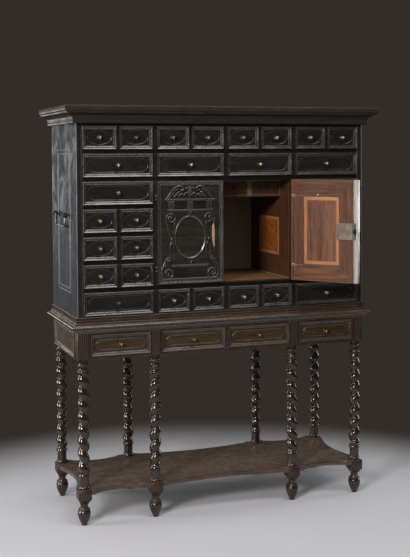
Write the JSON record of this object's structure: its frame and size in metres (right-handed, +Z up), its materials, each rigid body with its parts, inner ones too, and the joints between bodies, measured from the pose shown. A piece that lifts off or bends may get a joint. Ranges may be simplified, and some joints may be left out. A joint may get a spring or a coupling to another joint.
{
  "type": "cabinet on stand",
  "caption": "Ebonised collector's cabinet on a twist-leg stand: rows of small drawers round a niche behind two doors, cornice above, frieze drawers and a shelf below.",
  "frame": {"origin": "on the floor, under the middle of the whole outline with the right door standing open", "axes": "+Z up, +X to the right seen from the front, +Y towards the back"},
  "size_m": [1.4028, 0.743, 1.72],
  "materials": {
    "ebonised_wood": "ebonised wood, satin, worn lighter at the edges",
    "stand_wood": "dark stained wood, polished",
    "niche_veneer": "reddish brown veneer with light stringing",
    "wrought_iron": "black forged iron",
    "lock_steel": "grey worn steel",
    "oak_back": "unfinished back boards",
    "shelf_wood": "dark grained wood, polished"
  },
  "bodies": {
    "cabinet": {"case_sides": "ebonised_wood", "case_top": "ebonised_wood", "case_bottom": "ebonised_wood", "case_back": "oak_back", "row_boards": "ebonised_wood", "column_boards": "ebonised_wood", "cornice": "ebonised_wood", "base_plinth": "ebonised_wood", "niche_lining": "niche_veneer", "hinge_pins": "wrought_iron", "handle_mounts": "wrought_iron", "stand_top": "stand_wood", "stand_frieze": "stand_wood", "twist_legs": "stand_wood", "shelf": "shelf_wood"},
    "left_door": {"left_door": "ebonised_wood"},
    "right_door": {"right_door": "ebonised_wood", "door_lock": "lock_steel"},
    "left_handle": {"left_handle": "wrought_iron"},
    "right_handle": {"right_handle": "wrought_iron"},
    "row1_drawer1": {"row1_drawer1": "ebonised_wood"},
    "row1_drawer2": {"row1_drawer2": "ebonised_wood"},
    "row1_drawer3": {"row1_drawer3": "ebonised_wood"},
    "row1_drawer4": {"row1_drawer4": "ebonised_wood"},
    "row1_drawer5": {"row1_drawer5": "ebonised_wood"},
    "row1_drawer6": {"row1_drawer6": "ebonised_wood"},
    "row1_drawer7": {"row1_drawer7": "ebonised_wood"},
    "row1_drawer8": {"row1_drawer8": "ebonised_wood"},
    "row2_drawer1": {"row2_drawer1": "ebonised_wood"},
    "row2_drawer2": {"row2_drawer2": "ebonised_wood"},
    "row2_drawer3": {"row2_drawer3": "ebonised_wood"},
    "row2_drawer4": {"row2_drawer4": "ebonised_wood"},
    "row3_drawer1": {"row3_drawer1": "ebonised_wood"},
    "row3_drawer2": {"row3_drawer2": "ebonised_wood"},
    "row4_drawer1": {"row4_drawer1": "ebonised_wood"},
    "row4_drawer2": {"row4_drawer2": "ebonised_wood"},
    "row4_drawer3": {"row4_drawer3": "ebonised_wood"},
    "row4_drawer4": {"row4_drawer4": "ebonised_wood"},
    "row5_drawer1": {"row5_drawer1": "ebonised_wood"},
    "row5_drawer2": {"row5_drawer2": "ebonised_wood"},
    "row5_drawer3": {"row5_drawer3": "ebonised_wood"},
    "row5_drawer4": {"row5_drawer4": "ebonised_wood"},
    "row6_drawer1": {"row6_drawer1": "ebonised_wood"},
    "row6_drawer2": {"row6_drawer2": "ebonised_wood"},
    "row6_drawer3": {"row6_drawer3": "ebonised_wood"},
    "row6_drawer4": {"row6_drawer4": "ebonised_wood"},
    "row7_drawer1": {"row7_drawer1": "ebonised_wood"},
    "row7_drawer2": {"row7_drawer2": "ebonised_wood"},
    "row7_drawer3": {"row7_drawer3": "ebonised_wood"},
    "row7_drawer4": {"row7_drawer4": "ebonised_wood"},
    "row7_drawer5": {"row7_drawer5": "ebonised_wood"},
    "row7_drawer6": {"row7_drawer6": "ebonised_wood"},
    "stand_drawer1": {"stand_drawer1": "stand_wood"},
    "stand_drawer2": {"stand_drawer2": "stand_wood"},
    "stand_drawer3": {"stand_drawer3": "stand_wood"},
    "stand_drawer4": {"stand_drawer4": "stand_wood"},
    "niche_drawer1": {"niche_drawer1": "niche_veneer"},
    "niche_drawer2": {"niche_drawer2": "niche_veneer"},
    "niche_drawer3": {"niche_drawer3": "niche_veneer"},
    "niche_drawer4": {"niche_drawer4": "niche_veneer"}
  },
  "joints": [
    {"name": "left_door_hinge", "type": "hinge", "parent": "cabinet", "child": "left_door", "pos_m": [-0.3092, -0.09995, 1.194], "axis": [0, 0, 1], "range_deg": [-145, 0]},
    {"name": "right_door_hinge", "type": "hinge", "parent": "cabinet", "child": "right_door", "pos_m": [0.3092, -0.09995, 1.194], "axis": [0, 0, -1], "range_deg": [-18, 127]},
    {"name": "left_handle_swing", "type": "hinge", "parent": "cabinet", "child": "left_handle", "pos_m": [-0.6614, 0.13805, 1.26987], "axis": [0, 1, 0], "range_deg": [0, 100]},
    {"name": "right_handle_swing", "type": "hinge", "parent": "cabinet", "child": "right_handle", "pos_m": [0.6614, 0.13805, 1.26987], "axis": [0, -1, 0], "range_deg": [0, 100]},
    {"name": "row1_drawer1_slide", "type": "slide", "parent": "cabinet", "child": "row1_drawer1", "axis": [0, -1, 0], "range_m": [0, 0.3]},
    {"name": "row2_drawer1_slide", "type": "slide", "parent": "cabinet", "child": "row2_drawer1", "axis": [0, -1, 0], "range_m": [0, 0.3]},
    {"name": "row3_drawer1_slide", "type": "slide", "parent": "cabinet", "child": "row3_drawer1", "axis": [0, -1, 0], "range_m": [0, 0.3]},
    {"name": "row4_drawer1_slide", "type": "slide", "parent": "cabinet", "child": "row4_drawer1", "axis": [0, -1, 0], "range_m": [0, 0.3]},
    {"name": "row7_drawer1_slide", "type": "slide", "parent": "cabinet", "child": "row7_drawer1", "axis": [0, -1, 0], "range_m": [0, 0.3]},
    {"name": "stand_drawer1_slide", "type": "slide", "parent": "cabinet", "child": "stand_drawer1", "axis": [0, -1, 0], "range_m": [0, 0.3]},
    {"name": "stand_drawer2_slide", "type": "slide", "parent": "cabinet", "child": "stand_drawer2", "axis": [0, -1, 0], "range_m": [0, 0.3]},
    {"name": "row3_drawer2_slide", "type": "slide", "parent": "cabinet", "child": "row3_drawer2", "axis": [0, -1, 0], "range_m": [0, 0.012]},
    {"name": "row4_drawer3_slide", "type": "slide", "parent": "cabinet", "child": "row4_drawer3", "axis": [0, -1, 0], "range_m": [0, 0.012]},
    {"name": "row4_drawer4_slide", "type": "slide", "parent": "cabinet", "child": "row4_drawer4", "axis": [0, -1, 0], "range_m": [0, 0.18]},
    {"name": "row5_drawer3_slide", "type": "slide", "parent": "cabinet", "child": "row5_drawer3", "axis": [0, -1, 0], "range_m": [0, 0.012]},
    {"name": "row6_drawer3_slide", "type": "slide", "parent": "cabinet", "child": "row6_drawer3", "axis": [0, -1, 0], "range_m": [0, 0.012]},
    {"name": "row5_drawer4_slide", "type": "slide", "parent": "cabinet", "child": "row5_drawer4", "axis": [0, -1, 0], "range_m": [0, 0.18]},
    {"name": "row6_drawer4_slide", "type": "slide", "parent": "cabinet", "child": "row6_drawer4", "axis": [0, -1, 0], "range_m": [0, 0.18]},
    {"name": "niche_drawer1_slide", "type": "slide", "parent": "cabinet", "child": "niche_drawer1", "axis": [0, 1, 0], "range_m": [-0.07, 0]},
    {"name": "niche_drawer2_slide", "type": "slide", "parent": "cabinet", "child": "niche_drawer2", "axis": [0, 1, 0], "range_m": [-0.07, 0]},
    {"name": "niche_drawer3_slide", "type": "slide", "parent": "cabinet", "child": "niche_drawer3", "axis": [0, 1, 0], "range_m": [-0.25, 0]},
    {"name": "niche_drawer4_slide", "type": "slide", "parent": "cabinet", "child": "niche_drawer4", "axis": [0, 1, 0], "range_m": [-0.115, 0]},
    {"name": "row1_drawer2_slide", "type": "slide", "parent": "cabinet", "child": "row1_drawer2", "axis": [0, -1, 0], "range_m": [0, 0.3]},
    {"name": "row1_drawer3_slide", "type": "slide", "parent": "cabinet", "child": "row1_drawer3", "axis": [0, -1, 0], "range_m": [0, 0.3]},
    {"name": "row1_drawer4_slide", "type": "slide", "parent": "cabinet", "child": "row1_drawer4", "axis": [0, -1, 0], "range_m": [0, 0.3]},
    {"name": "row1_drawer5_slide", "type": "slide", "parent": "cabinet", "child": "row1_drawer5", "axis": [0, -1, 0], "range_m": [0, 0.3]},
    {"name": "row1_drawer6_slide", "type": "slide", "parent": "cabinet", "child": "row1_drawer6", "axis": [0, -1, 0], "range_m": [0, 0.3]},
    {"name": "row1_drawer7_slide", "type": "slide", "parent": "cabinet", "child": "row1_drawer7", "axis": [0, -1, 0], "range_m": [0, 0.3]},
    {"name": "row1_drawer8_slide", "type": "slide", "parent": "cabinet", "child": "row1_drawer8", "axis": [0, -1, 0], "range_m": [0, 0.3]},
    {"name": "row2_drawer2_slide", "type": "slide", "parent": "cabinet", "child": "row2_drawer2", "axis": [0, -1, 0], "range_m": [0, 0.3]},
    {"name": "row2_drawer3_slide", "type": "slide", "parent": "cabinet", "child": "row2_drawer3", "axis": [0, -1, 0], "range_m": [0, 0.3]},
    {"name": "row2_drawer4_slide", "type": "slide", "parent": "cabinet", "child": "row2_drawer4", "axis": [0, -1, 0], "range_m": [0, 0.3]},
    {"name": "row4_drawer2_slide", "type": "slide", "parent": "cabinet", "child": "row4_drawer2", "axis": [0, -1, 0], "range_m": [0, 0.3]},
    {"name": "row5_drawer1_slide", "type": "slide", "parent": "cabinet", "child": "row5_drawer1", "axis": [0, -1, 0], "range_m": [0, 0.3]},
    {"name": "row5_drawer2_slide", "type": "slide", "parent": "cabinet", "child": "row5_drawer2", "axis": [0, -1, 0], "range_m": [0, 0.3]},
    {"name": "row6_drawer1_slide", "type": "slide", "parent": "cabinet", "child": "row6_drawer1", "axis": [0, -1, 0], "range_m": [0, 0.3]},
    {"name": "row6_drawer2_slide", "type": "slide", "parent": "cabinet", "child": "row6_drawer2", "axis": [0, -1, 0], "range_m": [0, 0.3]},
    {"name": "row7_drawer2_slide", "type": "slide", "parent": "cabinet", "child": "row7_drawer2", "axis": [0, -1, 0], "range_m": [0, 0.3]},
    {"name": "row7_drawer3_slide", "type": "slide", "parent": "cabinet", "child": "row7_drawer3", "axis": [0, -1, 0], "range_m": [0, 0.3]},
    {"name": "row7_drawer4_slide", "type": "slide", "parent": "cabinet", "child": "row7_drawer4", "axis": [0, -1, 0], "range_m": [0, 0.3]},
    {"name": "row7_drawer5_slide", "type": "slide", "parent": "cabinet", "child": "row7_drawer5", "axis": [0, -1, 0], "range_m": [0, 0.3]},
    {"name": "row7_drawer6_slide", "type": "slide", "parent": "cabinet", "child": "row7_drawer6", "axis": [0, -1, 0], "range_m": [0, 0.3]},
    {"name": "stand_drawer3_slide", "type": "slide", "parent": "cabinet", "child": "stand_drawer3", "axis": [0, -1, 0], "range_m": [0, 0.3]},
    {"name": "stand_drawer4_slide", "type": "slide", "parent": "cabinet", "child": "stand_drawer4", "axis": [0, -1, 0], "range_m": [0, 0.3]}
  ]
}
